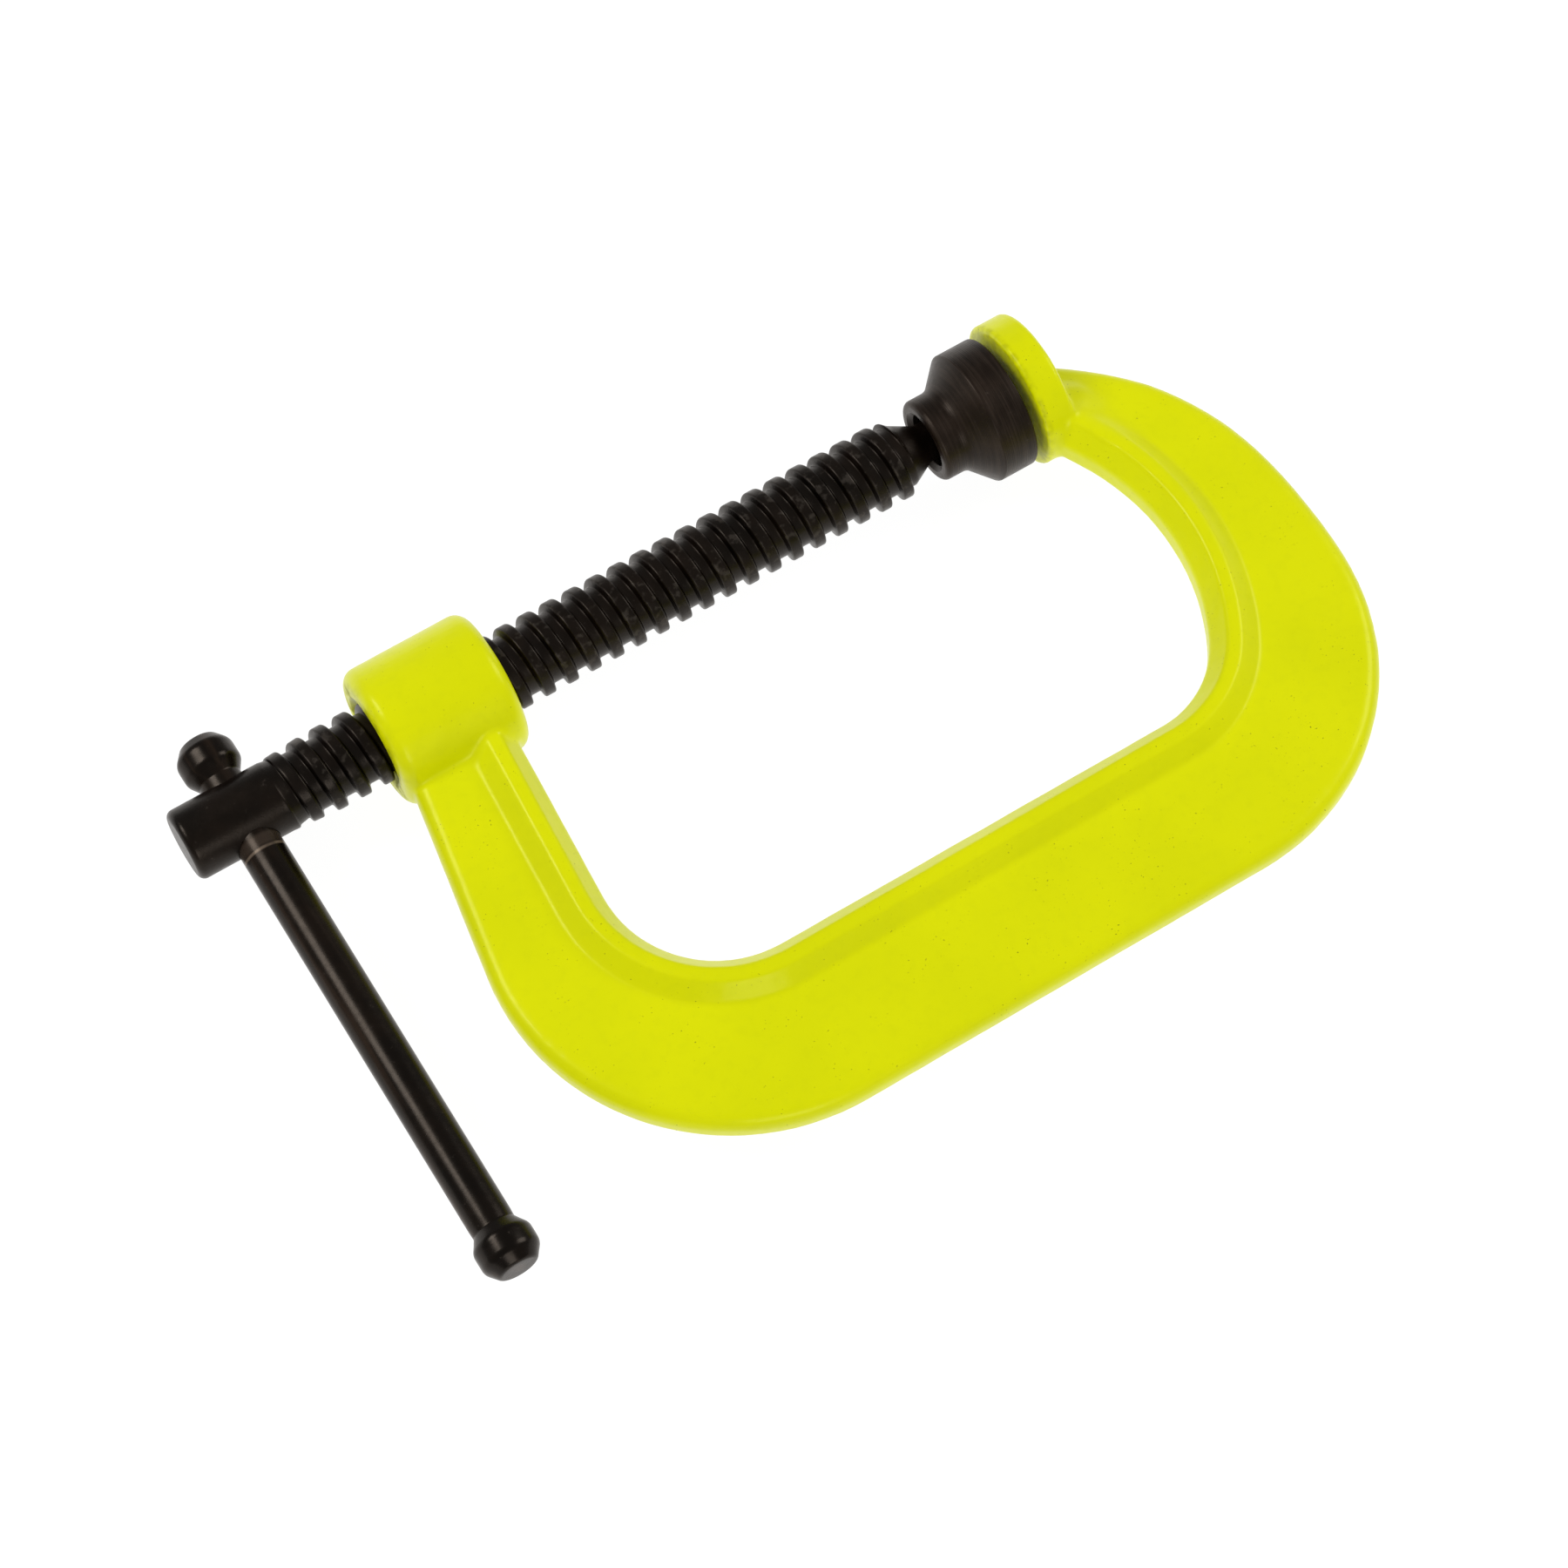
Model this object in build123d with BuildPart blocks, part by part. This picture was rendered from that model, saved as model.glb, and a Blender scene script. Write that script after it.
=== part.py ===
from build123d import *
import os
from math import asin, cos, degrees, floor, radians, sin

os.makedirs("parts", exist_ok=True)

# All sizes are in millimetres.  The clamp lies on its side: +X runs along the screw from
# the handle to the anvil, the spine is towards -Y and +Z is up through the thickness.
# The origin is the centre of the anvil's face, on the screw's axis.

# Capacity of the clamp
opening = 107.2
throat = 82.5
rest_gap = 2.05

# Forged C-frame
web_thickness = 8.6
web_edge_round = 3.4
spine_width = 36.5
left_arm_lean = 9.6
left_outer_radius = 53.0
right_outer_radius = 53.0
right_outer_turn = 86.0
right_side_radius = 130.0
right_side_end = 98.0
right_sweep_end = 145.0
right_outer_start = -13.8
arm_outer_inset = 3.5
left_inner_lean = 3.9
left_inner_radius = 25.5
left_inner_start_inset = 3.3
path_start_drop = 8.0
path_end_run = 7.0
outer_end_run = 5.0
right_inner_radius = 22.0
right_inner_turn = 60.0
right_inner_end = 118.0
right_inner_start = -15.6
anvil_root = 20.5
rib_half_thickness = 7.6
rib_nose_half = 2.4
rib_nose_round = 2.0
rib_slope_in = 3.6
rib_land = 6.4
rib_foot = 11.2
web_behind_nose = 3.0
rib_edge_round = 1.1
rib_foot_sink = 0.6

# Threaded boss
boss_wall = 7.0
boss_length = 29.0
boss_edge_round = 3.2
bore_chamfer = 1.6

# Anvil
anvil_diameter = 33.0
anvil_thickness = 7.4
anvil_front_round = 1.0
anvil_back_round = 4.4
knuckle_radius = 7.6
knuckle_x = 8.6
knuckle_y = -10.8

# Screw thread, single start and right-hand
screw_diameter = 17.5
thread_pitch = 5.5
thread_depth = 1.7
crest_width = 2.45
thread_flank = 0.44
thread_clearance = 0.10
runout_turns = 3

# Spindle
head_length = 21.5
head_round = 1.6
hole_forward = 2.9
thread_behind_boss = 21.4
neck_visible = 0.8
cone_length = 5.2
ball_diameter = 11.6
ball_shoulder = 1.5

# Swivel pad
pad_diameter = 30.0
pad_length = 19.3
pad_band = 8.2
pad_shoulder_end = 13.6
collar_wall = 3.0
pad_face_round = 0.6
pad_band_round = 0.5
pad_waist_blend = 3.0
pad_rim_round = 1.2
mouth_clearance = 0.3
mouth_chamfer = 1.0
socket_floor = 5.2
socket_clearance = 0.05

# Retaining ring
wire_diameter = 1.4
ring_inset = 0.25
ring_behind_ball = 4.5
ring_gap_angle = 32.0
groove_width = 3.6
groove_depth = 1.3

# Sliding tommy bar
rod_diameter = 9.5
rod_clearance = 0.10
knob_spacing = 121.7
knob_upset = 1.85
knob_length = 10.6
knob_end_flat = 6.4
knob_bevel = 1.6
knob_round = 1.4
knob_head_gap = 0.3

# How near a corner lies to the line that it is picked by, before it is rounded
pick_margin = 0.1

# Sizes that follow from the ones above
boss_diameter = screw_diameter + 2 * boss_wall
head_diameter = screw_diameter - thread_depth
crest_radius = screw_diameter / 2
root_radius = crest_radius - thread_depth
bore_radius = crest_radius + thread_clearance
neck_diameter = ball_diameter - 2 * ball_shoulder
socket_radius = ball_diameter / 2 + socket_clearance
ball_depth = ball_diameter / 2 + socket_floor
pad_mouth_diameter = ball_diameter + 2 * mouth_clearance
pad_collar_diameter = pad_mouth_diameter + 2 * collar_wall
ring_radius = pad_mouth_diameter / 2 - ring_inset
groove_radius = pad_mouth_diameter / 2 + groove_depth
groove_start = ring_behind_ball - groove_width / 2
groove_end = ring_behind_ball + groove_width / 2
knob_diameter = rod_diameter + 2 * knob_upset
rib_foot_half = web_thickness / 2 - rib_foot_sink

# Positions that follow from the sizes above
boss_inner_x = -(opening + pad_length)
boss_outer_x = boss_inner_x - boss_length
pad_face_x = -rest_gap
ball_x = pad_face_x - ball_depth
pad_mouth_x = pad_face_x - pad_length
cone_start_x = pad_mouth_x - neck_visible
thread_front_x = cone_start_x - cone_length
head_front_x = boss_outer_x - thread_behind_boss - rest_gap
head_back_x = head_front_x - head_length
cross_hole_x = (head_front_x + head_back_x) / 2 + hole_forward

# Lines of the frame's side view
spine_inner_y = -throat
spine_outer_y = -(throat + spine_width)
lean_out = Vector(-sin(radians(left_arm_lean)), -cos(radians(left_arm_lean)))
lean_in = Vector(-sin(radians(left_inner_lean)), -cos(radians(left_inner_lean)))
outer_drop = abs(spine_outer_y) - left_outer_radius * (1 + sin(radians(left_arm_lean)))
inner_drop = abs(spine_inner_y) - left_inner_radius * (1 + sin(radians(left_inner_lean))) - path_start_drop
outer_line = outer_drop / cos(radians(left_arm_lean))
inner_line = inner_drop / cos(radians(left_inner_lean))
outer_rise = right_outer_radius * (1 - cos(radians(right_outer_turn)))
side_rise = right_side_radius * (cos(radians(right_outer_turn)) - cos(radians(right_side_end)))
outer_sweep_span = cos(radians(right_side_end)) - cos(radians(right_sweep_end))
outer_sweep_radius = (abs(spine_outer_y) - outer_rise - side_rise) / outer_sweep_span
inner_rise = right_inner_radius * (1 - cos(radians(right_inner_turn)))
inner_sweep_span = cos(radians(right_inner_turn)) - cos(radians(right_inner_end))
inner_sweep_radius = (throat - anvil_root - inner_rise) / inner_sweep_span

crest_count = floor((thread_front_x - head_front_x) / thread_pitch)
neck_angle = 180 - degrees(asin(neck_diameter / ball_diameter))
neck_to_ball = ball_diameter / 2 * cos(radians(180 - neck_angle))


def inner_path(outward):
    """Draw the inner edge of the C, moved outward into the metal by the given distance."""
    start_x = boss_inner_x - left_inner_start_inset - outward
    left_side = Line((start_x, -path_start_drop), Vector(start_x, -path_start_drop) + lean_in * inner_line)
    left_corner = JernArc(left_side @ 1, lean_in, left_inner_radius + outward, 90 + left_inner_lean)
    spine_end = Vector(right_inner_start, (left_corner @ 1).Y)
    spine_side = Line(left_corner @ 1, spine_end)
    right_corner = JernArc(spine_side @ 1, (1, 0), right_inner_radius + outward, right_inner_turn)
    sweep_turn = right_inner_end - right_inner_turn
    right_sweep = JernArc(right_corner @ 1, right_corner % 1, inner_sweep_radius + outward, sweep_turn)
    anvil_run = Line(right_sweep @ 1, right_sweep @ 1 + (right_sweep % 1) * path_end_run)
    return left_side, anvil_run


# The forging: one web with a thick rounded rib along the inner edge of the C, a boss at
# the handle end, bored to clear the thread's crests, and a round anvil at the other.
with BuildLine() as rib_path:
    inner_path(0)

rib_start = rib_path.wires()[0] @ 0
rib_heading = rib_path.wires()[0] % 0
rib_outward = Vector(rib_heading.Y, -rib_heading.X)

with BuildPart() as c_frame:
    with BuildSketch(Plane.XY.offset(-web_thickness / 2)):
        with BuildLine():
            outer_start = Vector(boss_outer_x + arm_outer_inset, 0)
            left_edge = Line(outer_start, outer_start + lean_out * outer_line)
            left_bend = JernArc(left_edge @ 1, lean_out, left_outer_radius, 90 + left_arm_lean)
            back_edge = Line(left_bend @ 1, (right_outer_start, (left_bend @ 1).Y))
            right_bend = JernArc(back_edge @ 1, (1, 0), right_outer_radius, right_outer_turn)
            side_turn = right_side_end - right_outer_turn
            right_side = JernArc(right_bend @ 1, right_bend % 1, right_side_radius, side_turn)
            sweep_left = right_sweep_end - right_side_end
            right_back = JernArc(right_side @ 1, right_side % 1, outer_sweep_radius, sweep_left)
            anvil_back = Line(right_back @ 1, right_back @ 1 + (right_back % 1) * outer_end_run)
            Line(anvil_back @ 1, outer_start)
        make_face()
    extrude(amount=web_thickness)
    rim_edges = c_frame.edges().filter_by(Axis.Z, reverse=True)
    fillet(rim_edges, radius=web_edge_round)
    with BuildSketch(Plane.XY.offset(-web_thickness)):
        with BuildLine():
            inner_left, inner_right = inner_path(web_behind_nose)
            high_left = Vector((inner_left @ 0).X, boss_diameter)
            high_right = Vector((inner_right @ 1).X, boss_diameter)
            Line(inner_left @ 0, high_left)
            Line(high_left, high_right)
            Line(high_right, inner_right @ 1)
        make_face()
    extrude(amount=web_thickness * 2, mode=Mode.SUBTRACT)

    with BuildSketch(Plane(origin=rib_start, x_dir=rib_outward, z_dir=rib_heading)) as rib_section:
        with BuildLine():
            Polyline(
                (0, rib_nose_half),
                (rib_slope_in, rib_half_thickness),
                (rib_land, rib_half_thickness),
                (rib_foot, rib_foot_half),
                (rib_foot, -rib_foot_half),
                (rib_land, -rib_half_thickness),
                (rib_slope_in, -rib_half_thickness),
                (0, -rib_nose_half),
                close=True,
            )
        make_face()
        land_corners = rib_section.vertices().filter_by(lambda v: abs(v.Y) > rib_foot_half + pick_margin)
        fillet(land_corners, radius=rib_edge_round)
        nose_corners = rib_section.vertices().filter_by(lambda v: v.X < pick_margin)
        fillet(nose_corners, radius=rib_nose_round)
    sweep(path=rib_path.wires()[0])

    with BuildSketch() as boss_section:
        with BuildLine():
            Polyline(
                (boss_inner_x, 0),
                (boss_inner_x, boss_diameter / 2),
                (boss_outer_x, boss_diameter / 2),
                (boss_outer_x, 0),
                close=True,
            )
        make_face()
        boss_rim = boss_section.vertices().filter_by(lambda v: v.Y > boss_diameter / 4)
        fillet(boss_rim, radius=boss_edge_round)
    revolve(axis=Axis.X)

    with BuildSketch() as anvil_section:
        with BuildLine():
            Polyline(
                (0, 0),
                (0, anvil_diameter / 2),
                (anvil_thickness, anvil_diameter / 2),
                (anvil_thickness, 0),
                close=True,
            )
        make_face()
        anvil_rim = anvil_section.vertices().filter_by(lambda v: v.Y > anvil_diameter / 4)
        fillet(anvil_rim.sort_by(Axis.X)[0], radius=anvil_front_round)
        fillet(anvil_rim.sort_by(Axis.X)[-1], radius=anvil_back_round)
    revolve(axis=Axis.X)
    with Locations((knuckle_x, knuckle_y)):
        Sphere(knuckle_radius)

    with BuildSketch():
        with BuildLine():
            Polyline(
                (boss_inner_x, 0),
                (boss_inner_x, bore_radius + bore_chamfer),
                (boss_inner_x - bore_chamfer, bore_radius),
                (boss_outer_x + bore_chamfer, bore_radius),
                (boss_outer_x, bore_radius + bore_chamfer),
                (boss_outer_x, 0),
                close=True,
            )
        make_face()
    revolve(axis=Axis.X, mode=Mode.SUBTRACT)
c_frame.part.label = "c_frame"
export_step(c_frame.part, "parts/c_frame.step")

# The spindle is one bar: a plain cross-drilled head, the thread, a cone, a neck and a
# ball at the front.  Rings with the thread's pitch and depth stand in for its helix, and
# their crests get lower over the last turns before the head.
thread_points = []
for turn in range(crest_count):
    crest_x = thread_front_x - (turn + 0.5) * thread_pitch
    fade = min(1.0, (crest_x - head_front_x) / (runout_turns * thread_pitch))
    top_radius = head_diameter / 2 + (crest_radius - head_diameter / 2) * fade
    thread_points.append((crest_x + crest_width / 2 + thread_flank, root_radius))
    thread_points.append((crest_x + crest_width / 2, top_radius))
    thread_points.append((crest_x - crest_width / 2, top_radius))
    thread_points.append((crest_x - crest_width / 2 - thread_flank, root_radius))

with BuildPart() as spindle:
    with BuildSketch() as spindle_section:
        with BuildLine():
            Polyline(
                (ball_x + ball_diameter / 2, 0),
                (head_back_x, 0),
                (head_back_x, head_diameter / 2),
                (head_front_x, head_diameter / 2),
                *reversed(thread_points),
                (thread_front_x, root_radius),
                (cone_start_x, neck_diameter / 2),
                (ball_x - neck_to_ball, neck_diameter / 2),
            )
            CenterArc((ball_x, 0), ball_diameter / 2, 0, neck_angle)
        make_face()
        end_corner = spindle_section.vertices().sort_by_distance((head_back_x, head_diameter / 2))[0]
        fillet(end_corner, radius=head_round)
    revolve(axis=Axis.X)
    with Locations(Location((cross_hole_x, 0, 0), (90, 0, 0))):
        Cylinder(radius=rod_diameter / 2 + rod_clearance, height=head_diameter * 2, mode=Mode.SUBTRACT)
spindle.part.label = "spindle"
export_step(spindle.part, "parts/spindle.step")

# The pad swivels on the ball: a spherical seat, a straight bore behind it and a groove
# inside the collar for the wire ring that keeps the pad on.
with BuildPart() as swivel_pad:
    with BuildSketch() as pad_section:
        with BuildLine():
            face_line = Line((ball_x + socket_radius, 0), (pad_face_x, 0))
            rim_line = Polyline(
                face_line @ 1,
                (pad_face_x, pad_diameter / 2),
                (pad_face_x - pad_band, pad_diameter / 2),
                (pad_face_x - pad_shoulder_end, pad_collar_diameter / 2),
                (pad_mouth_x, pad_collar_diameter / 2),
                (pad_mouth_x, pad_mouth_diameter / 2 + mouth_chamfer),
                (pad_mouth_x + mouth_chamfer, pad_mouth_diameter / 2),
                (ball_x - groove_end, pad_mouth_diameter / 2),
                (ball_x - groove_end, groove_radius),
                (ball_x - groove_start, groove_radius),
                (ball_x - groove_start, pad_mouth_diameter / 2),
                (ball_x, pad_mouth_diameter / 2),
                (ball_x, socket_radius),
            )
            CenterArc((ball_x, 0), socket_radius, 0, 90)
        make_face()
        outer_points = (
            (pad_face_x, pad_diameter / 2, pad_face_round),
            (pad_face_x - pad_band, pad_diameter / 2, pad_band_round),
            (pad_face_x - pad_shoulder_end, pad_collar_diameter / 2, pad_waist_blend),
            (pad_mouth_x, pad_collar_diameter / 2, pad_rim_round),
        )
        for point_x, point_y, blend in outer_points:
            corner = pad_section.vertices().sort_by_distance((point_x, point_y))[0]
            fillet(corner, radius=blend)
    revolve(axis=Axis.X)
swivel_pad.part.label = "swivel_pad"
export_step(swivel_pad.part, "parts/swivel_pad.step")

# The snap ring is a loop of round wire with a gap, sprung into the collar's groove.
with BuildPart() as retaining_ring:
    with BuildSketch():
        with Locations((ball_x - ring_behind_ball, ring_radius)):
            Circle(wire_diameter / 2)
    revolve(axis=Axis.X, revolution_arc=360 - ring_gap_angle)
retaining_ring.part.label = "retaining_ring"
export_step(retaining_ring.part, "parts/retaining_ring.step")

# The tommy bar is one rod with both ends upset into knobs after it is in the head.
near_knob_y = head_diameter / 2 + knob_head_gap + knob_length / 2
far_knob_y = near_knob_y - knob_spacing
with BuildPart() as tommy_bar:
    with BuildSketch() as bar_section:
        with BuildLine():
            Polyline(
                (cross_hole_x, near_knob_y),
                (cross_hole_x, far_knob_y),
                (cross_hole_x + rod_diameter / 2, far_knob_y),
                (cross_hole_x + rod_diameter / 2, near_knob_y),
                close=True,
            )
        make_face()
        for knob_y, out in ((near_knob_y, 1), (far_knob_y, -1)):
            knob_end_y = knob_y + out * knob_length / 2
            knob_inner_y = knob_y - out * knob_length / 2
            with BuildLine():
                end_flat = Line((cross_hole_x, knob_end_y), (cross_hole_x + knob_end_flat / 2, knob_end_y))
                bevel_end = (cross_hole_x + knob_diameter / 2, knob_y + out * knob_bevel)
                bevel = Line(end_flat @ 1, bevel_end)
                ball_side = Line(bevel @ 1, (cross_hole_x + knob_diameter / 2, knob_y - out * knob_bevel / 2))
                neck = Line(ball_side @ 1, (cross_hole_x + rod_diameter / 2, knob_inner_y))
                Line(neck @ 1, (cross_hole_x, knob_inner_y))
                Line((cross_hole_x, knob_inner_y), (cross_hole_x, knob_end_y))
            make_face()
        knob_side_x = cross_hole_x + knob_diameter / 2
        knob_corners = bar_section.vertices().filter_by(lambda v: v.X > knob_side_x - pick_margin)
        fillet(knob_corners, radius=knob_round)
    revolve(axis=Axis((cross_hole_x, 0, 0), (0, 1, 0)))
tommy_bar.part.label = "tommy_bar"
export_step(tommy_bar.part, "parts/tommy_bar.step")
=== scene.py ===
# %% [markdown]
# # A forged C clamp, finished in Blender
# The clamp is already drawn to size as five CAD solids on five bodies.  This lesson
# loads them as a fixed frame, and then gives each piece the shape details and the finish
# that a CAD kernel is bad at: soft forged blends, a true helical thread, gloss paint and
# black oxide.  Every size is in metres, in the same frame as the CAD: +X runs along the
# screw from the handle to the anvil, the spine is towards -Y and +Z is up.

# %% Load the frame
import math

import bmesh
import bpy
import numpy as np
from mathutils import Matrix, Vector, noise


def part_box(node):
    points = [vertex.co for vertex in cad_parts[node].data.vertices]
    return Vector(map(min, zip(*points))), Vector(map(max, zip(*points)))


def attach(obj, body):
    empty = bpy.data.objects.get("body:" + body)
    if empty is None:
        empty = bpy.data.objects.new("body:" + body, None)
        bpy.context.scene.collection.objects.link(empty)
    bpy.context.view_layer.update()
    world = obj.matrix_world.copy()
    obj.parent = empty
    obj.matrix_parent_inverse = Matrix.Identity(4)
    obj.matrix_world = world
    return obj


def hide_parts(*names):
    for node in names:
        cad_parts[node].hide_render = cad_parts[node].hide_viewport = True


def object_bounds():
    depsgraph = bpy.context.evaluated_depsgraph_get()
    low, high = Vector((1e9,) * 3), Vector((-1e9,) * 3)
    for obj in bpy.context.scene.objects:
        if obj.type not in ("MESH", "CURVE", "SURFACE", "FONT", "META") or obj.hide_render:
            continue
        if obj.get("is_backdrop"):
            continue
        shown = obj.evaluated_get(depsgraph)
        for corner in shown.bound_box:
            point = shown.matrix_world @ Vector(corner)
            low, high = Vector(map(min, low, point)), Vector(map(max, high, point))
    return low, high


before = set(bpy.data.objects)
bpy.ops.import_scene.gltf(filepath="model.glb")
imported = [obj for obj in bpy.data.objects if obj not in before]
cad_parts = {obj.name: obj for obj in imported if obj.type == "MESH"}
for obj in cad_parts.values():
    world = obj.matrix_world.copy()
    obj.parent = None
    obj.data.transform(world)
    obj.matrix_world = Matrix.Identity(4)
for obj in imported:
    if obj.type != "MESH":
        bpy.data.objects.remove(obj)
cad_low, cad_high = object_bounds()
MM = 0.001
print("CAD box in mm:", [round(size / MM, 1) for size in cad_high - cad_low])

# %% [markdown]
# ## Arithmetic on shader sockets
# A finish is mostly masks multiplied and mixed.  Adding every Math node by hand hides the
# idea, so one small class wraps a socket and lets Python's own operators add the nodes.
# Colours don't pass through it, because a Math node would turn them grey.


# %% Sockets that add up
class Socket:
    """A node's output socket that takes part in Python arithmetic."""

    def __init__(self, tree, output):
        self.tree = tree
        self.output = output

    def math(self, operation, first, second=0.0):
        settings = {"operation": operation}
        return self.tree.add("ShaderNodeMath", settings, {0: first, 1: second})

    def __add__(self, other):
        return self.math("ADD", self, other)

    def __radd__(self, other):
        return self.math("ADD", other, self)

    def __sub__(self, other):
        return self.math("SUBTRACT", self, other)

    def __rsub__(self, other):
        return self.math("SUBTRACT", other, self)

    def __mul__(self, other):
        return self.math("MULTIPLY", self, other)

    def __rmul__(self, other):
        return self.math("MULTIPLY", other, self)

    def power(self, exponent):
        return self.math("POWER", self, exponent)

    def smaller(self, other):
        return self.math("MINIMUM", self, other)

    def size(self):
        return self.math("ABSOLUTE", self)

    def between(self, low, high):
        """0 below low, 1 above high, and a smooth step between them."""
        settings = {"interpolation_type": "SMOOTHSTEP"}
        inputs = {"Value": self, "From Min": low, "From Max": high, "To Min": 0.0, "To Max": 1.0}
        return self.tree.add("ShaderNodeMapRange", settings, inputs)


# %% [markdown]
# ## One tree for each finish
# Each finish is a Principled surface whose colour, roughness and bump vary, so the tree
# class below starts with that node.  Its `add` method makes any other node: its settings
# first, because they can change which sockets there are, and then its inputs.


# %% A finish's node tree
class Finish:
    """A material and the nodes that feed its Principled surface."""

    def __init__(self, name):
        self.material = bpy.data.materials.new(name)
        self.material.use_nodes = True
        self.nodes = self.material.node_tree.nodes
        self.links = self.material.node_tree.links
        self.surface = self.nodes["Principled BSDF"]
        self.place = self.add("ShaderNodeTexCoord", {}, {}, output="Object")

    def feed(self, socket, value):
        if isinstance(value, Socket):
            self.links.new(value.output, socket)
        else:
            socket.default_value = value

    def add(self, kind, settings, inputs, output=0):
        node = self.nodes.new(kind)
        for setting, value in settings.items():
            setattr(node, setting, value)
        for key, value in inputs.items():
            self.feed(node.inputs[key], value)
        return Socket(self, node.outputs[output])

    def set(self, **inputs):
        for key, value in inputs.items():
            self.feed(self.surface.inputs[key.replace("_", " ").title()], value)

    def grain(self, per_metre, detail=2.0, roughness=0.5, stretch=(1, 1, 1)):
        """Soft noise from 0 to 1, with its size given as blobs in a metre."""
        scaled = self.add("ShaderNodeVectorMath", {"operation": "MULTIPLY"}, {0: self.place, 1: stretch})
        inputs = {"Vector": scaled, "Scale": per_metre, "Detail": detail, "Roughness": roughness}
        return self.add("ShaderNodeTexNoise", {}, inputs)

    def axes(self):
        node = self.nodes.new("ShaderNodeSeparateXYZ")
        self.feed(node.inputs[0], self.place)
        return [Socket(self, output) for output in node.outputs]

    def blend(self, factor, first, second):
        """A colour that goes from the first to the second as the factor goes from 0 to 1."""
        node = self.nodes.new("ShaderNodeMix")
        node.data_type = "RGBA"
        colours = [socket for socket in node.inputs if socket.type == "RGBA"]
        self.feed(node.inputs["Factor"], factor)
        self.feed(colours[0], first)
        self.feed(colours[1], second)
        return Socket(self, next(socket for socket in node.outputs if socket.type == "RGBA"))

    def relief(self, height, depth, under=None):
        """A bumped normal; depth is in metres, and under is another relief it lies on."""
        inputs = {"Height": height, "Distance": depth, "Strength": 1.0}
        if under is not None:
            inputs["Normal"] = under
        return self.add("ShaderNodeBump", {}, inputs)


def rgb(red, green, blue):
    """A screen colour from 0 to 255 as the linear colour that a shader takes."""
    return tuple((part / 255) ** 2.2 for part in (red, green, blue)) + (1.0,)


# %% [markdown]
# ## Turned shapes
# The pad and the bar are turned or upset round, so half of their outline says everything.
# The corners of that outline are rounded first, then it is swept round its axis.  Screw
# modifiers could do the sweep, but rings written out one by one keep the poles clean.

# %% Turned-shape helpers
AROUND = 144
SHARP_EDGE = 40


def rounded(points, steps=7):
    """A line through (x, r, corner radius) points, with an arc in place of each corner."""
    line = []
    for index, (x, y, radius) in enumerate(points):
        corner = Vector((x, y))
        if radius == 0:
            line.append(corner)
            continue
        before = (Vector(points[index - 1][:2]) - corner).normalized()
        after = (Vector(points[(index + 1) % len(points)][:2]) - corner).normalized()
        half = before.angle(after) / 2
        middle = corner + (before + after).normalized() * radius / math.sin(half)
        start = corner + before * radius / math.tan(half) - middle
        end = corner + after * radius / math.tan(half) - middle
        for step in range(steps + 1):
            part = start.lerp(end, step / steps).normalized() * radius
            line.append(middle + part)
    return line


def shaded(name, points, faces):
    """A mesh object with smooth shading that breaks only at its sharp edges."""
    mesh = bpy.data.meshes.new(name)
    mesh.from_pydata([tuple(point) for point in points], [], faces)
    work = bmesh.new()
    work.from_mesh(mesh)
    bmesh.ops.remove_doubles(work, verts=work.verts, dist=0.002 * MM)
    bmesh.ops.dissolve_degenerate(work, edges=work.edges, dist=0.001 * MM)
    bmesh.ops.recalc_face_normals(work, faces=work.faces)
    work.to_mesh(mesh)
    work.free()
    mesh.shade_smooth()
    mesh.set_sharp_from_angle(angle=math.radians(SHARP_EDGE))
    piece = bpy.data.objects.new(name, mesh)
    bpy.context.scene.collection.objects.link(piece)
    return piece


def turned(name, outline, placed):
    """Sweep an outline of (along, radius) points round its axis.

    placed turns (along, across, up) into a point of the model."""
    points, faces = [], []
    for along, radius in outline:
        for column in range(AROUND):
            turn = math.tau * column / AROUND
            points.append(placed(along, radius * math.cos(turn), radius * math.sin(turn)))
    for row in range(len(outline) - 1):
        for column in range(AROUND):
            beside = (column + 1) % AROUND
            low, high = row * AROUND, (row + 1) * AROUND
            faces.append((low + column, low + beside, high + beside, high + column))
    return shaded(name, points, faces)


def filled_in(outline, step):
    """Add points along the straight stretches, so that no row of faces is long and thin."""
    line = [outline[0]]
    for point in outline[1:]:
        last = line[-1]
        count = max(1, math.ceil((point - last).length / step))
        line.extend(last.lerp(point, (index + 1) / count) for index in range(count))
    return line


# %% [markdown]
# ## The spindle's thread
# The screw is the heart of a clamp.  It is a coarse single-start thread with steep flanks
# and softly rounded crests, cut right-hand: turned clockwise from the handle, it
# drives towards the anvil.  The CAD solid has rings, so here the mesh is a grid whose
# rows follow the helix itself.  Each row climbs by one pitch in one turn, so crest edges
# stay crisp at any size, which a displaced cylinder can't do.

# %% Sizes of the spindle
spindle_low, spindle_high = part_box("spindle")
bar_low, bar_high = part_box("tommy_bar")
CREST_R = spindle_high.z
PITCH = 5.5 * MM
THREAD_DEPTH = 1.7 * MM
CREST_WIDTH = 2.45 * MM
FLANK = 0.44 * MM
ROOT_R = CREST_R - THREAD_DEPTH
HEAD_R = 7.9 * MM
HEAD_LENGTH = 21.5 * MM
BALL_R = 5.8 * MM
NECK_R = 4.3 * MM
HOLE_R = 4.85 * MM
NECK_LENGTH = 9.1 * MM
CONE_LENGTH = 5.2 * MM
head_back = spindle_low.x
head_front = head_back + HEAD_LENGTH
hole_x = (bar_low.x + bar_high.x) / 2
ball_x = spindle_high.x - BALL_R
cone_end = ball_x - NECK_LENGTH
cone_start = cone_end - CONE_LENGTH
print("thread from", round(head_front / MM, 2), "to", round(cone_start / MM, 2), "mm")

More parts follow.
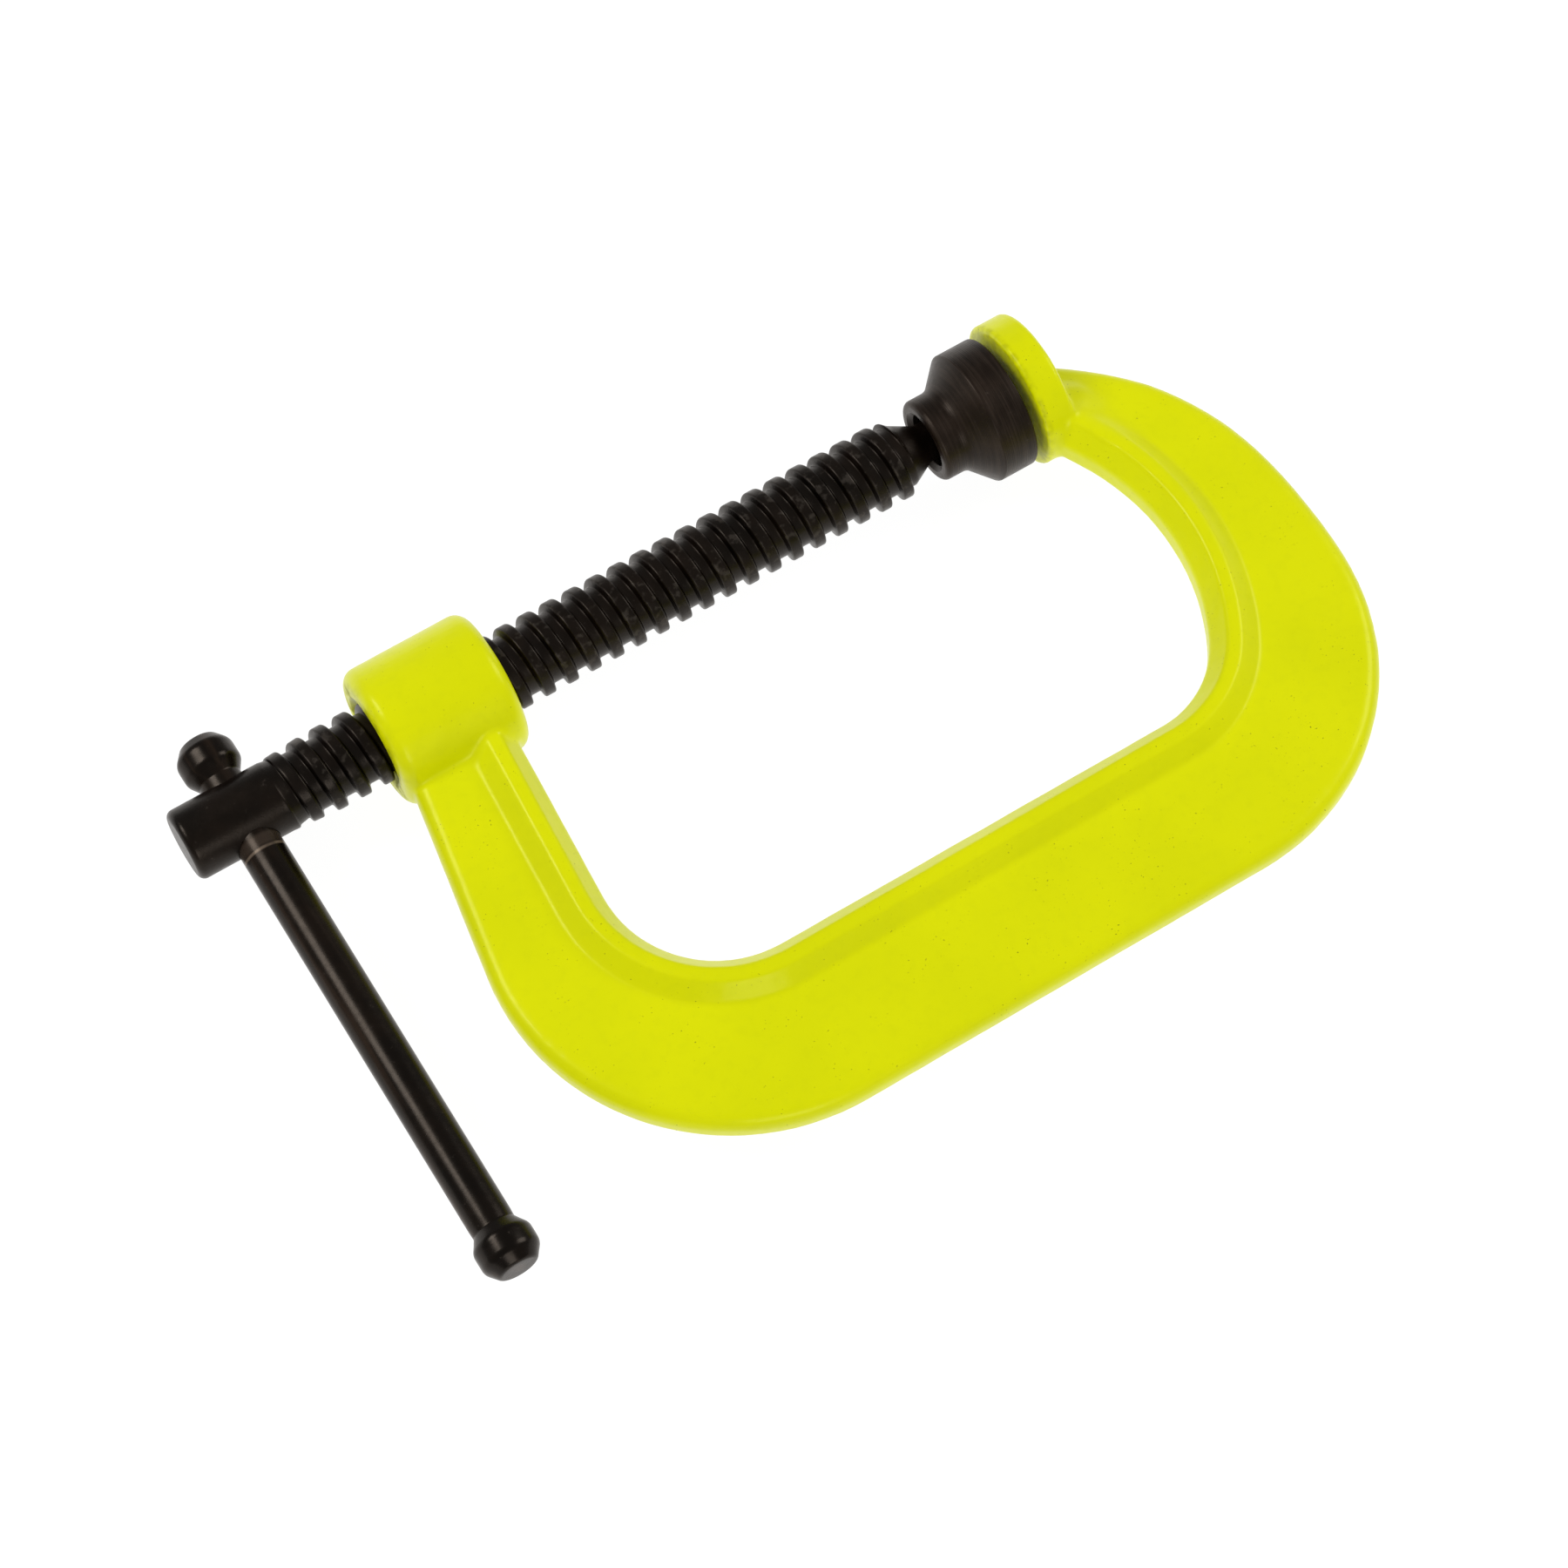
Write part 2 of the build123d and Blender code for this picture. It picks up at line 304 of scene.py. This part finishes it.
# %% Rows of one pitch
groove_half = (PITCH - CREST_WIDTH - 2 * FLANK) / 2
one_pitch = rounded(
    [
        (0, ROOT_R, 0),
        (groove_half, ROOT_R, 0.42 * MM),
        (groove_half + FLANK, CREST_R, 0.5 * MM),
        (PITCH - groove_half - FLANK, CREST_R, 0.5 * MM),
        (PITCH - groove_half, ROOT_R, 0.42 * MM),
        (PITCH, ROOT_R, 0),
    ],
    steps=5,
)
one_pitch = filled_in(one_pitch, 0.45 * MM)[:-1]
print("rows in a pitch:", len(one_pitch))


# %% Follow the helix
ROOT_RUNOUT = 0.8 * PITCH
CREST_RUNOUT = 2 * PITCH
LEAD_IN_SLOPE = 0.9


def thread_radius(along, height):
    """Radius at a place along the screw, where height is 0 in the root and 1 on the crest."""
    crest_rise = np.clip((along - head_front) / CREST_RUNOUT, 0, 1)
    crest = HEAD_R + (CREST_R - HEAD_R) * crest_rise
    root_fall = np.clip((along - head_front) / ROOT_RUNOUT, 0, 1)
    root = HEAD_R + (ROOT_R - HEAD_R) * root_fall
    radius = root + (crest - root) * height
    slope = (ROOT_R - NECK_R) / (cone_end - cone_start)
    cone = ROOT_R - (along - cone_start) * slope
    lead_in = ROOT_R - (along - cone_start) * LEAD_IN_SLOPE
    return np.minimum(radius, np.where(along > cone_start, cone, lead_in))


def threaded_grid():
    """Points and faces of the threaded length, with the rows running along the helix."""
    pitches = math.ceil((cone_end - head_front) / PITCH) + 1
    starts = np.array([turn * PITCH for turn in range(-1, pitches)]) + head_front
    along = (starts[:, None] + np.array([row.x for row in one_pitch])).ravel()
    height = np.tile([(row.y - ROOT_R) / THREAD_DEPTH for row in one_pitch], len(starts))
    turn = np.arange(AROUND) / AROUND
    place = np.clip(along[:, None] + PITCH * turn, head_front, cone_end)
    radius = thread_radius(place, height[:, None])
    angle = math.tau * turn
    points = np.stack([place, radius * np.cos(angle), radius * np.sin(angle)], axis=-1)
    faces = []
    rows, per_pitch = len(along), len(one_pitch)
    for row in range(rows - 1):
        for column in range(AROUND - 1):
            low, high = row * AROUND + column, (row + 1) * AROUND + column
            faces.append((low, low + 1, high + 1, high))
        if row + 1 + per_pitch < rows:
            low, high = row * AROUND + AROUND - 1, (row + 1) * AROUND + AROUND - 1
            seam = (row + per_pitch) * AROUND
            faces.append((low, seam, seam + AROUND, high))
    return points.reshape(-1, 3), faces, rows


# %% [markdown]
# ## Head, neck and ball
# The bar's hole is drilled through a plain round head, and at the other end the screw
# runs down a cone to a thin neck and the ball that the pad turns on.  Both ends carry on
# from the thread's own first and last ring, so the spindle is one closed skin, and only
# the cross hole is cut with a boolean.


# %% Build the spindle
def ring_rows(points, faces, first_ring, outline):
    """Carry a skin on from a ring of points, through outline, to a point on the axis."""
    last = first_ring
    for along, radius in outline:
        base = len(points)
        for column in range(AROUND):
            angle = math.tau * column / AROUND
            points.append((along, radius * math.cos(angle), radius * math.sin(angle)))
        ring = list(range(base, base + AROUND))
        for column in range(AROUND):
            beside = (column + 1) % AROUND
            faces.append((last[column], last[beside], ring[beside], ring[column]))
        last = ring


grid_points, spindle_faces, grid_rows = threaded_grid()
spindle_points = [tuple(point) for point in grid_points]
head_corner = 1.6 * MM
head_outline = [
    (head_front, HEAD_R, 0),
    (head_back, HEAD_R, head_corner),
    (head_back, 0, 0),
]
head_line = filled_in(rounded(head_outline), 0.5 * MM)[1:]
ring_rows(spindle_points, spindle_faces, list(range(AROUND)), head_line)
neck_turn = math.asin(NECK_R / BALL_R)
ball_line = [Vector((ball_x - BALL_R * math.cos(neck_turn), NECK_R))]
BALL_STEPS = 24
for step in range(1, BALL_STEPS + 1):
    swing = neck_turn + (math.pi - neck_turn) * step / BALL_STEPS
    ball_line.append(Vector((ball_x - BALL_R * math.cos(swing), BALL_R * math.sin(swing))))
last_ring = list(range((grid_rows - 1) * AROUND, grid_rows * AROUND))
ring_rows(spindle_points, spindle_faces, last_ring, ball_line)
spindle = shaded("threaded_spindle", spindle_points, spindle_faces)
print("spindle faces:", len(spindle.data.polygons))


# %% [markdown]
# ## A hole across the head
# The bar's hole is the one shape here that isn't turned, and its edge is a curve where two
# cylinders meet.  A boolean finds that curve by itself, so a drill is turned on the hole's
# own axis and cut out of the head.

# %% Drill the cross hole
def cut(piece, cutter):
    """Cut one mesh from another and throw the cutter away."""
    modifier = piece.modifiers.new("cut", "BOOLEAN")
    modifier.operation = "DIFFERENCE"
    modifier.solver = "EXACT"
    modifier.object = cutter
    bpy.context.view_layer.update()
    evaluated = piece.evaluated_get(bpy.context.evaluated_depsgraph_get())
    piece.data = bpy.data.meshes.new_from_object(evaluated)
    piece.modifiers.clear()
    bpy.data.objects.remove(cutter)


DRILL_REACH = 12 * MM
drill_line = [Vector(spot) for spot in [
    (-DRILL_REACH, 0), (-DRILL_REACH, HOLE_R), (DRILL_REACH, HOLE_R), (DRILL_REACH, 0)
]]
drill = turned("drill", drill_line, lambda along, across, up: (hole_x + across, along, up))
cut(spindle, drill)
spindle.data.shade_smooth()
spindle.data.set_sharp_from_angle(angle=math.radians(SHARP_EDGE))
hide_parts("spindle")
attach(spindle, "screw")
print("drilled spindle faces:", len(spindle.data.polygons))

# %% [markdown]
# ## The swivel pad
# The pad is turned from bar: a flat working face, a wide band, a sloping shoulder and a
# narrow collar.  Inside it are the ball's seat and the groove for the wire ring.  The
# outline starts and ends on the axis, so one sweep gives the socket as well as the outside.

# %% Turn the pad
pad_low, pad_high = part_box("swivel_pad")
PAD_R = pad_high.z
SEAT_CLEARANCE = 0.05 * MM
SEAT_R = BALL_R + SEAT_CLEARANCE
MOUTH_R = 6.1 * MM
COLLAR_R = 9.4 * MM
GROOVE_R = 7.4 * MM
MOUTH_CHAMFER = 1.0 * MM
band_end = pad_high.x - 8.2 * MM
shoulder_end = pad_high.x - 13.6 * MM
groove_back = ball_x - 6.3 * MM
groove_front = ball_x - 2.7 * MM
pad_outline = [
    (pad_high.x, 0, 0),
    (pad_high.x, PAD_R, 0.6 * MM),
    (band_end, PAD_R, 0.45 * MM),
    (shoulder_end, COLLAR_R, 3 * MM),
    (pad_low.x, COLLAR_R, 1.2 * MM),
    (pad_low.x, MOUTH_R + MOUTH_CHAMFER, 0.3 * MM),
    (pad_low.x + MOUTH_CHAMFER, MOUTH_R, 0.3 * MM),
    (groove_back, MOUTH_R, 0),
    (groove_back, GROOVE_R, 0),
    (groove_front, GROOVE_R, 0),
    (groove_front, MOUTH_R, 0),
    (ball_x, MOUTH_R, 0),
    (ball_x, SEAT_R, 0),
]
pad_line = rounded(pad_outline)
SEAT_STEPS = 12
for step in range(1, SEAT_STEPS + 1):
    swing = math.pi / 2 * step / SEAT_STEPS
    pad_line.append(Vector((ball_x + SEAT_R * math.sin(swing), SEAT_R * math.cos(swing))))
pad = turned("turned_pad", filled_in(pad_line, 1.2 * MM), lambda along, across, up: (along, across, up))
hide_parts("swivel_pad")
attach(pad, "pad")
print("pad faces:", len(pad.data.polygons))

# %% [markdown]
# ## The sliding bar
# The bar is plain rod, and each end is upset into a knob once it is in the head, which is
# why it can't fall out.  A real upset end isn't perfectly round: it keeps the dies' marks
# and slumps a little.  The knobs are turned first, and their points are then pressed in
# by slow noise, never outward, so the bar stays within its drawn size.

# %% Turn the bar and press its knobs
ROD_R = 4.75 * MM
KNOB_R = bar_high.z
KNOB_LENGTH = 10.6 * MM


def knob_end(end, side):
    """A knob's outline, from its flat end to its neck, as (y, r, round) points."""
    return [
        (end, 0, 0),
        (end, 4.4 * MM, 1.3 * MM),
        (end - side * 2.8 * MM, KNOB_R, 2.6 * MM),
        (end - side * 7.0 * MM, KNOB_R, 2.4 * MM),
        (end - side * 9.8 * MM, ROD_R, 0.9 * MM),
    ]


far_end, near_end = knob_end(bar_low.y, -1), knob_end(bar_high.y, 1)
bar_line = filled_in(rounded(near_end + far_end[::-1], steps=6), 1.5 * MM)
bar = turned("sliding_bar", bar_line, lambda along, across, up: (hole_x + across, along, up))
DEEPEST_DENT = 0.34 * MM
DENT_SIZE = 5.5 * MM
for vertex in bar.data.vertices:
    from_end = min(bar_high.y - vertex.co.y, vertex.co.y - bar_low.y)
    on_knob = min(1.0, max(0.0, (KNOB_LENGTH * 1.1 - from_end) / (3 * MM)))
    dent = 0.5 + 0.5 * noise.noise(vertex.co / DENT_SIZE)
    axis_point = Vector((hole_x, vertex.co.y, 0))
    vertex.co = vertex.co.lerp(axis_point, DEEPEST_DENT * dent * on_knob / KNOB_R)
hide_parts("tommy_bar")
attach(bar, "handle")
print("bar faces:", len(bar.data.polygons))

# %% [markdown]
# ## The forged frame
# A drop forging has no sharp inside corner: metal flows, so the rib runs into the web and
# the arms run into the boss and the anvil in soft hollows.  The CAD solid has the right
# sizes but meets in creases.  A copy of its mesh is remeshed to an even grid, and each
# point is then pulled outward wherever the hollow is tighter than a chosen radius, which
# stops by itself when the blend is there.  Outside corners are treated the same way with
# their own small radius.  Smoothing everything would have shrunk the whole frame.

# %% Copy and remesh the forging
VOXEL = 0.5 * MM
forging = bpy.data.objects.new("painted_frame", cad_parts["c_frame"].data.copy())
bpy.context.scene.collection.objects.link(forging)
remesh = forging.modifiers.new("even grid", "REMESH")
remesh.mode = "VOXEL"
remesh.voxel_size = VOXEL
bpy.context.view_layer.update()
evaluated = forging.evaluated_get(bpy.context.evaluated_depsgraph_get())
forging.data = bpy.data.meshes.new_from_object(evaluated)
forging.modifiers.clear()
forging.data.materials.clear()
print("forging points:", len(forging.data.vertices))

# %% [markdown]
# ## The mesh as arrays
# The blends need hundreds of thousands of points moved many times, which is slow one vertex
# at a time.  So the points, edges and triangles are read into numpy arrays, and two short
# functions say how far a point is from its neighbours' middle and which way it faces.

# %% Read the grid into arrays
count = len(forging.data.vertices)
points = np.empty(count * 3)
forging.data.vertices.foreach_get("co", points)
points = points.reshape(-1, 3)
edges = np.empty(len(forging.data.edges) * 2, dtype=np.int64)
forging.data.edges.foreach_get("vertices", edges)
edges = edges.reshape(-1, 2)
forging.data.calc_loop_triangles()
triangles = np.empty(len(forging.data.loop_triangles) * 3, dtype=np.int64)
forging.data.loop_triangles.foreach_get("vertices", triangles)
triangles = triangles.reshape(-1, 3)
neighbours = np.bincount(edges.ravel(), minlength=count)[:, None]


def spread(index, values):
    """Add up rows of values at the points they belong to."""
    return np.stack([np.bincount(index, values[:, axis], minlength=count) for axis in range(3)], axis=1)


def pull_to_neighbours(at):
    """How far each point is from the middle of the points beside it."""
    total = spread(edges[:, 0], at[edges[:, 1]]) + spread(edges[:, 1], at[edges[:, 0]])
    return total / neighbours - at


def outward(at):
    """Each point's normal."""
    first, second, third = at[triangles[:, 0]], at[triangles[:, 1]], at[triangles[:, 2]]
    facing = np.cross(second - first, third - first)
    normal = sum(spread(triangles[:, corner], facing) for corner in range(3))
    return normal / np.maximum(np.linalg.norm(normal, axis=1, keepdims=True), 1e-12)


# %% [markdown]
# ## How wide each blend is
# A hollow of radius R lifts a point from its neighbours' middle by the grid's step squared
# over 4R, so a radius becomes a lift to aim for.  The blends are wider round the boss and
# behind the anvil.  The bore and the anvil's face are held still, since other pieces meet them.

# %% Where the blends are wide and what must stay
boss_back = -155.5 * MM
BOSS_R = 15.75 * MM
from_axis = np.hypot(points[:, 1], points[:, 2])
boss_side = points[:, 0] < -100 * MM
in_bore = (from_axis < 11.5 * MM) & boss_side
working_face = (np.abs(points[:, 0]) < 0.9 * MM) & (from_axis < 17.5 * MM)
held = in_bore | working_face
near_boss = np.clip(1 - np.abs(from_axis - BOSS_R) / (9 * MM), 0, 1) * (points[:, 0] < -115 * MM)
DISC_BACK = 9 * MM
near_anvil = np.clip(2 - np.abs(points[:, 0] - DISC_BACK) / (6 * MM), 0, 1) * (from_axis < 26 * MM)
hollow_radius = (2.4 + 1.4 * near_boss + 5.0 * near_anvil) * MM
corner_radius = 1.7 * MM
hollow_lift = VOXEL**2 / (4 * hollow_radius)
corner_lift = VOXEL**2 / (4 * corner_radius)
print("points held still:", int(held.sum()))

# %% [markdown]
# ## Fill, soften and melt
# Each round moves a point along its normal only by what its hollow or corner is still too
# sharp, and evens the grid sideways.  The knuckle behind the anvil's disc is then melted
# into the arm by plain smoothing, and a last weak pass takes out the grid's own ripple.

# %% Fill the hollows and soften the corners
FILL_ROUNDS = 90
MELT_ROUNDS = 60
RIPPLE_ROUNDS = 3
for round_number in range(FILL_ROUNDS):
    shift = pull_to_neighbours(points)
    normal = outward(points)
    lift = (shift * normal).sum(axis=1)
    fill = np.maximum(lift - hollow_lift, 0) + np.minimum(lift + corner_lift, 0)
    sideways = shift - normal * lift[:, None]
    step = normal * (0.85 * fill)[:, None] + 0.3 * sideways
    step[held] = 0
    points = points + step
behind_disc = np.clip((points[:, 0] - 8 * MM) / (3 * MM), 0, 1)
behind_disc = behind_disc * np.clip((26 * MM - points[:, 0]) / (8 * MM), 0, 1)
melted = behind_disc * np.clip((points[:, 1] + 26 * MM) / (6 * MM), 0, 1)
for round_number in range(MELT_ROUNDS):
    points = points + pull_to_neighbours(points) * (0.5 * melted)[:, None]
for round_number in range(RIPPLE_ROUNDS):
    for weight in (0.5, -0.52):
        shift = pull_to_neighbours(points) * weight
        shift[held] = 0
        points = points + shift
print("blended in", FILL_ROUNDS, "rounds")

# %% [markdown]
# ## Forge scale under the paint
# Even under gloss paint a forging isn't flat: the dies leave broad, shallow waves that
# bend the highlights.  They are pressed inward, by a little over a tenth of a millimetre at
# the deepest, so the frame never grows past its drawn size.

# %% Press the waves in
DEEPEST_WAVE = 0.13 * MM
BROAD_WAVE = 9 * MM
SHORT_WAVE = 3.5 * MM
normal = outward(points)
waves = np.array([noise.noise(Vector(point) / BROAD_WAVE) for point in points])
waves = waves + 0.5 * np.array([noise.noise(Vector(point) / SHORT_WAVE) for point in points])
pressed = (0.5 + 0.4 * waves) * DEEPEST_WAVE
pressed[held] = 0
points = points - normal * pressed[:, None]
low, high = np.array(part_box("c_frame"))
points = np.clip(points, low, high)
forging.data.vertices.foreach_set("co", points.ravel())
forging.data.update()
forging.data.shade_smooth()
forging.data.set_sharp_from_angle(angle=math.radians(50))
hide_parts("c_frame")
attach(forging, "frame")
print("frame box in mm:", (points.max(axis=0) - points.min(axis=0)) / MM)


# %% [markdown]
# ## Yellow gloss paint
# The frame has one thick coat of bright yellow-green.  It is given faint orange
# peel, tiny dark specks where dust or scale comes through, painted shade in the
# hollows, a painted highlight as a paler line over the edges, and grime where the screw
# enters the boss and where the work meets the anvil.  Each of those is a mask from noise,
# from the bend of the surface or from the place on the object, laid over one base colour.

# %% Mix the paint
paint = Finish("yellow gloss paint")
along, across, up = paint.axes()
radius = (across * across + up * up).power(0.5)
broad = paint.grain(38.0, detail=3.0)
fine = paint.grain(420.0, detail=3.0)
specks = paint.grain(2300.0, detail=1.0).between(0.72, 0.78) * paint.grain(150.0).between(0.46, 0.6)
colour = paint.blend(broad.between(0.3, 0.7), rgb(224, 229, 0), rgb(230, 234, 0))
colour = paint.blend(fine.between(0.45, 0.75) * 0.14, colour, rgb(206, 213, 0))
bend = paint.add("ShaderNodeNewGeometry", {}, {}, output="Pointiness")
# painted shade: the paint is made darker and deeper where the surface bends inward, in the hollows and
# creases
painted_hollow_shade = 1 - bend.between(0.40, 0.49)
colour = paint.blend(painted_hollow_shade * 0.6, colour, rgb(196, 208, 0))
# painted highlight: a pale, broken line laid along the sharp outside edges
painted_edge_highlight = bend.between(0.53, 0.60)
colour = paint.blend(painted_edge_highlight * paint.grain(260.0).between(0.35, 0.65) * 0.45, colour, rgb(238, 242, 120))
boss_mouth = 1 - (along - boss_back).size().between(0.5 * MM, 3.2 * MM)
grime_ring = boss_mouth * (1 - radius.between(11 * MM, 15.5 * MM))
anvil_grime = (1 - along.size().between(0.6 * MM, 1.8 * MM)) * (1 - radius.between(16 * MM, 18 * MM))
grime = grime_ring * paint.grain(330.0, detail=4.0).between(0.42, 0.7)
rubbed = anvil_grime * paint.grain(520.0, detail=3.0).between(0.3, 0.75)
colour = paint.blend(grime * 0.5, colour, rgb(80, 76, 18))
colour = paint.blend(rubbed * 0.38, colour, rgb(120, 122, 14))
colour = paint.blend(specks * 0.8, colour, rgb(70, 66, 20))
peel = paint.relief(paint.grain(310.0, detail=2.0), 0.05 * MM)
peel = paint.relief(paint.grain(1300.0, detail=2.0), 0.012 * MM, under=peel)
paint.set(base_color=colour, roughness=0.27 + 0.1 * fine + 0.3 * grime.smaller(1.0), normal=peel)
paint.surface.inputs["Specular IOR Level"].default_value = 0.3
paint.surface.inputs["Specular Tint"].default_value = (1.0, 1.0, 0.3, 1.0)
paint.surface.inputs["Coat Weight"].default_value = 0.05
paint.surface.inputs["Coat Roughness"].default_value = 0.1
forging.data.materials.append(paint.material)
print("paint nodes:", len(paint.nodes))

# %% [markdown]
# ## Black oxide
# The moving pieces are blacked steel: a thin, warm, near-black skin with a satin shine.
# One recipe serves the spindle, the pad and the bar, with its own wear on each.  Rubbed
# places are a paler brown-grey steel, and pits show as small sparkles.


# %% One recipe for blacked steel
def blacked_steel(name, tone, worn_tone, gloss, pit_depth):
    """A black-oxide finish, with the colour and relief that more wear can be laid on."""
    finish = Finish(name)
    patches = finish.grain(95.0, detail=4.0, roughness=0.6)
    scuffs = finish.grain(700.0, detail=4.0, roughness=0.65)
    pits = finish.grain(1900.0, detail=2.0)
    colour = finish.blend(patches.between(0.35, 0.7), tone, worn_tone)
    colour = finish.blend(scuffs.between(0.64, 0.76) * 0.35, colour, rgb(74, 67, 61))
    relief = finish.relief(scuffs, pit_depth)
    relief = finish.relief(pits, pit_depth * 0.6, under=relief)
    roughness = gloss + 0.16 * (patches - 0.5) + 0.22 * (scuffs - 0.5)
    finish.set(roughness=roughness, normal=relief)
    finish.surface.inputs["Metallic"].default_value = 0.1
    finish.surface.inputs["Specular IOR Level"].default_value = 0.24
    finish.surface.inputs["Specular Tint"].default_value = (1.0, 0.84, 0.7, 1.0)
    return finish, colour, relief


# %% [markdown]
# The screw is the blackest piece.  Only its crests touch the boss, so the wear is a mask of
# the distance from the axis, broken up by noise so that it comes in patches.

# %% Black the spindle
screw_black, colour, relief = blacked_steel(
    "black oxide on the screw", rgb(12, 9, 7), rgb(23, 17, 13), gloss=0.32, pit_depth=0.03 * MM
)
along, across, up = screw_black.axes()
radius = (across * across + up * up).power(0.5)
crest = radius.between(CREST_R - 0.45 * MM, CREST_R - 0.1 * MM)
rubbed = crest * screw_black.grain(520.0, detail=3.0).between(0.52, 0.68)
colour = screw_black.blend(rubbed * 0.45, colour, rgb(70, 65, 60))
screw_black.set(base_color=colour)
spindle.data.materials.clear()
spindle.data.materials.append(screw_black.material)

# %% [markdown]
# The pad is finished as lathe work, with the tool's fine rings showing through the black.
# A wave of the distance along X and out from the axis draws them on the band and on the
# slope alike, and a little noise breaks them up.

# %% Black the pad
pad_black, colour, relief = blacked_steel(
    "black oxide on the pad", rgb(24, 18, 14), rgb(37, 29, 24), gloss=0.36, pit_depth=0.012 * MM
)
along, across, up = pad_black.axes()
radius = (across * across + up * up).power(0.5)
tool_path = (along + radius * 0.7) * (math.tau / (0.42 * MM)) + pad_black.grain(140.0) * 2.0
tool_rings = tool_path.math("SINE", tool_path) * 0.5 + 0.5
relief = pad_black.relief(tool_rings, 0.014 * MM, under=relief)
ring_patches = pad_black.grain(300.0, detail=3.0, stretch=(6, 0.3, 0.3)).between(0.4, 0.7)
colour = pad_black.blend(ring_patches * 0.4, colour, rgb(58, 49, 43))
pad_black.set(base_color=colour, normal=relief)
pad.data.materials.append(pad_black.material)

# %% [markdown]
# The bar slides in its hole, so the black is polished along it, with brown streaks.  Next
# to the head a short length is paler, and it ends in a thin rubbed line.

# %% Black the bar
bar_black, colour, relief = blacked_steel(
    "black oxide on the bar", rgb(11, 8, 7), rgb(23, 17, 13), gloss=0.26, pit_depth=0.01 * MM
)
along, across, up = bar_black.axes()
streaks = bar_black.grain(260.0, detail=3.0, stretch=(1, 0.06, 1)).between(0.5, 0.72)
colour = bar_black.blend(streaks * 0.4, colour, rgb(66, 52, 42))
from_head = 0 - across - HEAD_R
polished = from_head.between(-1 * MM, 0) * (1 - from_head.between(1.6 * MM, 2.6 * MM))
colour = bar_black.blend(polished * 0.5, colour, rgb(70, 60, 52))
bare_line = 1 - (from_head - 2.6 * MM).size().between(0.1 * MM, 0.5 * MM)
bare_line = bare_line * bar_black.grain(300.0, detail=2.0).between(0.2, 0.5)
colour = bar_black.blend(bare_line * 0.6, colour, rgb(126, 110, 95))
bar_black.set(base_color=colour)
bar.data.materials.append(bar_black.material)

# %% [markdown]
# ## The wire ring
# The ring that keeps the pad on the ball is spring wire, sprung into its groove inside
# the collar.  Its CAD shape is already right, so it stays and only gets a finish: bright
# drawn steel with lengthwise drawing marks and a trace of oil.

# %% Draw the wire's finish
wire = Finish("drawn spring wire")
marks = wire.grain(3200.0, detail=3.0, stretch=(3, 1, 1))
oil = wire.grain(500.0, detail=2.0).between(0.45, 0.65)
colour = wire.blend(oil * 0.6, rgb(150, 148, 144), rgb(96, 88, 76))
wire.set(base_color=colour, roughness=0.28 + 0.15 * marks, normal=wire.relief(marks, 0.01 * MM))
wire.surface.inputs["Metallic"].default_value = 1.0
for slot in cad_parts["retaining_ring"].material_slots:
    slot.material = wire.material
print("finishes:", [material.name for material in bpy.data.materials if material.users])

# %% [markdown]
# ## Floor, light and camera
# The clamp lies on a plain pale floor that glows, as a light table does, so the shadows stay
# faint.  The world gives soft, even light.  Three wide lamps shape the forms: they stand to
# the left, right and front, away from where the flat web would mirror them, so the paint
# keeps its full colour there and shows highlights only along its edges.

# %% Lay the floor
floor_size = 8.0
bpy.ops.mesh.primitive_plane_add(size=floor_size, location=(-0.08, -0.05, cad_low.z - 0.01 * MM))
floor = bpy.context.object
floor.name = "studio_floor"
floor_finish = Finish("pale floor")
shade = floor_finish.blend(floor_finish.grain(9.0), rgb(90, 90, 90), rgb(94, 94, 94))
floor_finish.set(base_color=shade, roughness=0.85 + 0.02 * floor_finish.grain(40.0))
floor_finish.surface.inputs["Emission Color"].default_value = (1, 1, 1, 1)
floor_finish.surface.inputs["Emission Strength"].default_value = 0.96
floor.data.materials.append(floor_finish.material)
floor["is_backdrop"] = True

# %% [markdown]
# Area lamps are used because their soft edges make soft highlights.  The Standard view
# keeps the paint's colour as bright as it is, where a film-like view would grey it.

# %% Hang the lights
scene = bpy.context.scene
scene.view_settings.view_transform = "Standard"
world = scene.world or bpy.data.worlds.new("studio")
scene.world = world
world.use_nodes = True
world.node_tree.nodes["Background"].inputs["Color"].default_value = (1, 1, 1, 1)
world.node_tree.nodes["Background"].inputs["Strength"].default_value = 0.34
middle = Vector((-0.089, -0.052, 0.0))


def soft_lamp(name, place, size, power):
    """A square lamp that faces the clamp."""
    lamp = bpy.data.lights.new(name, "AREA")
    lamp.shape = "SQUARE"
    lamp.size = size
    lamp.energy = power
    holder = bpy.data.objects.new(name, lamp)
    holder.location = place
    holder.rotation_euler = (middle - Vector(place)).to_track_quat("-Z", "Y").to_euler()
    scene.collection.objects.link(holder)


soft_lamp("left lamp", (-0.85, 0.55, 1.1), 0.6, 9.0)
soft_lamp("right lamp", (1.1, -0.15, 0.9), 0.7, 7.5)
soft_lamp("front lamp", (-0.35, -1.15, 0.55), 0.5, 3.0)

# %% [markdown]
# A long lens far away keeps the far end of the clamp nearly as large as the near end, so
# its proportions read true.  The camera looks down at the clamp from the front left.

# %% Set up the camera
camera = bpy.data.objects.new("camera", bpy.data.cameras.new("camera"))
scene.collection.objects.link(camera)
camera.data.lens = 100.0
camera.data.sensor_width = 36.0
camera.location = (-0.2764, -0.359, 0.820)
aim = Vector((-0.0883, -0.0521, 0.0))
camera.rotation_euler = (aim - camera.location).to_track_quat("-Z", "Y").to_euler()
scene.camera = camera

# %% [markdown]
# ## Check the size
# The looks mustn't change the size of the thing.  The box round the shown pieces is
# written beside the CAD's own, and the two should agree.

# %% Compare the boxes and finish
shown_low, shown_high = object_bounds()
growth = (shown_high - shown_low) - (cad_high - cad_low)
print("grown by, in mm:", [round(part / MM, 3) for part in growth])
